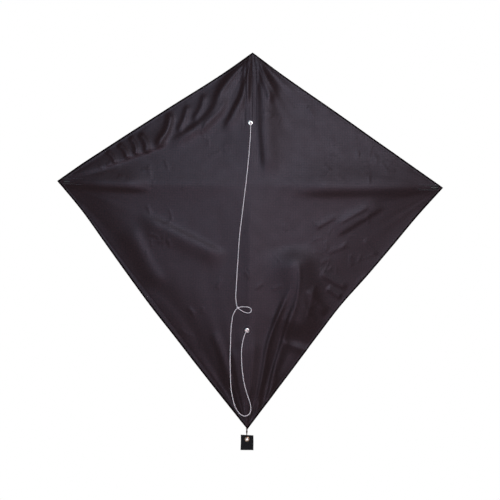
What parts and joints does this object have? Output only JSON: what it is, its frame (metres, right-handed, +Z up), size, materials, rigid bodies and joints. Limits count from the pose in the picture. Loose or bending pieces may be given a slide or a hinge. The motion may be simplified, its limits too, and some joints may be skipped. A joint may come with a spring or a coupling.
{
  "type": "diamond kite",
  "caption": "Single-line diamond kite with a two-leg bridle, folding wings and a snap swivel that carries a webbing tail tab.",
  "frame": {"origin": "middle of the sail cloth where the spine and the cross spar meet, which is where the kite is held or hung", "axes": "+Z up along the spine to the nose, -Y out of the face of the sail towards the flyer, +X to the right of someone facing the sail"},
  "size_m": [0.762, 0.0183, 0.787],
  "materials": {
    "ripstop": "charcoal ripstop, satin",
    "pocket_cloth": "heavier black cloth, matte",
    "fibreglass": "black pultruded fibreglass, satin",
    "vinyl": "black vinyl, soft satin",
    "nickel": "nickel-plated, bright",
    "bronze": "bronzed brass, satin",
    "bridle_cord": "braided polyester cord, pale grey",
    "tan_cord": "tan braided cord",
    "webbing": "black nylon webbing, matte"
  },
  "bodies": {
    "centre": {"sail_centre": "ripstop", "nose_strip": "ripstop", "lower_patch": "ripstop", "nose_pocket": "pocket_cloth", "tail_pocket": "pocket_cloth", "spine_rod": "fibreglass", "spine_top_cap": "vinyl", "spine_tail_cap": "vinyl", "centre_tube": "vinyl", "upper_eyelet": "nickel", "upper_eyelet_washer": "nickel", "lower_eyelet": "nickel", "lower_eyelet_washer": "nickel", "bridle_line": "bridle_cord", "tow_knot": "bridle_cord", "upper_hitch": "bridle_cord", "lower_hitch": "bridle_cord", "tail_loop": "tan_cord"},
    "left_wing": {"sail_left": "ripstop", "left_upper_hem": "ripstop", "left_lower_hem": "ripstop", "left_tip_pocket": "pocket_cloth", "left_spar": "fibreglass", "left_spar_cap": "vinyl"},
    "right_wing": {"sail_right": "ripstop", "right_upper_hem": "ripstop", "right_lower_hem": "ripstop", "right_tip_pocket": "pocket_cloth", "right_spar": "fibreglass", "right_spar_cap": "vinyl"},
    "swivel": {"swivel_eye": "bronze"},
    "snap": {"swivel_barrel": "bronze", "snap_wire": "bronze"},
    "gate": {"snap_gate": "bronze"},
    "tab": {"tail_tab": "webbing", "tab_eyelet": "nickel", "tab_eyelet_washer": "nickel"}
  },
  "joints": [
    {"name": "left_wing_fold", "type": "hinge", "parent": "centre", "child": "left_wing", "pos_m": [-0.017, 0, 0], "axis": [0, 0, -1], "range_deg": [0, 80], "stiffness_Nm_per_rad": 0.02, "deforming": ["centre_tube"]},
    {"name": "right_wing_fold", "type": "hinge", "parent": "centre", "child": "right_wing", "pos_m": [0.017, 0, 0], "axis": [0, 0, 1], "range_deg": [0, 80], "stiffness_Nm_per_rad": 0.02, "deforming": ["centre_tube"]},
    {"name": "swivel_swing", "type": "hinge", "parent": "centre", "child": "swivel", "pos_m": [0, 0.002, -0.484], "axis": [0, 1, 0], "range_deg": [-60, 60]},
    {"name": "swivel_spin", "type": "hinge", "parent": "swivel", "child": "snap", "pos_m": [0, 0.002, -0.488], "axis": [0, 0, 1], "continuous": true},
    {"name": "gate_open", "type": "hinge", "parent": "snap", "child": "gate", "pos_m": [0, 0.0042, -0.4935], "axis": [1, 0, 0], "range_deg": [0, 35]},
    {"name": "tab_swing", "type": "hinge", "parent": "snap", "child": "tab", "pos_m": [0, 0.002, -0.503], "axis": [0, 1, 0], "range_deg": [-30, 30]}
  ]
}
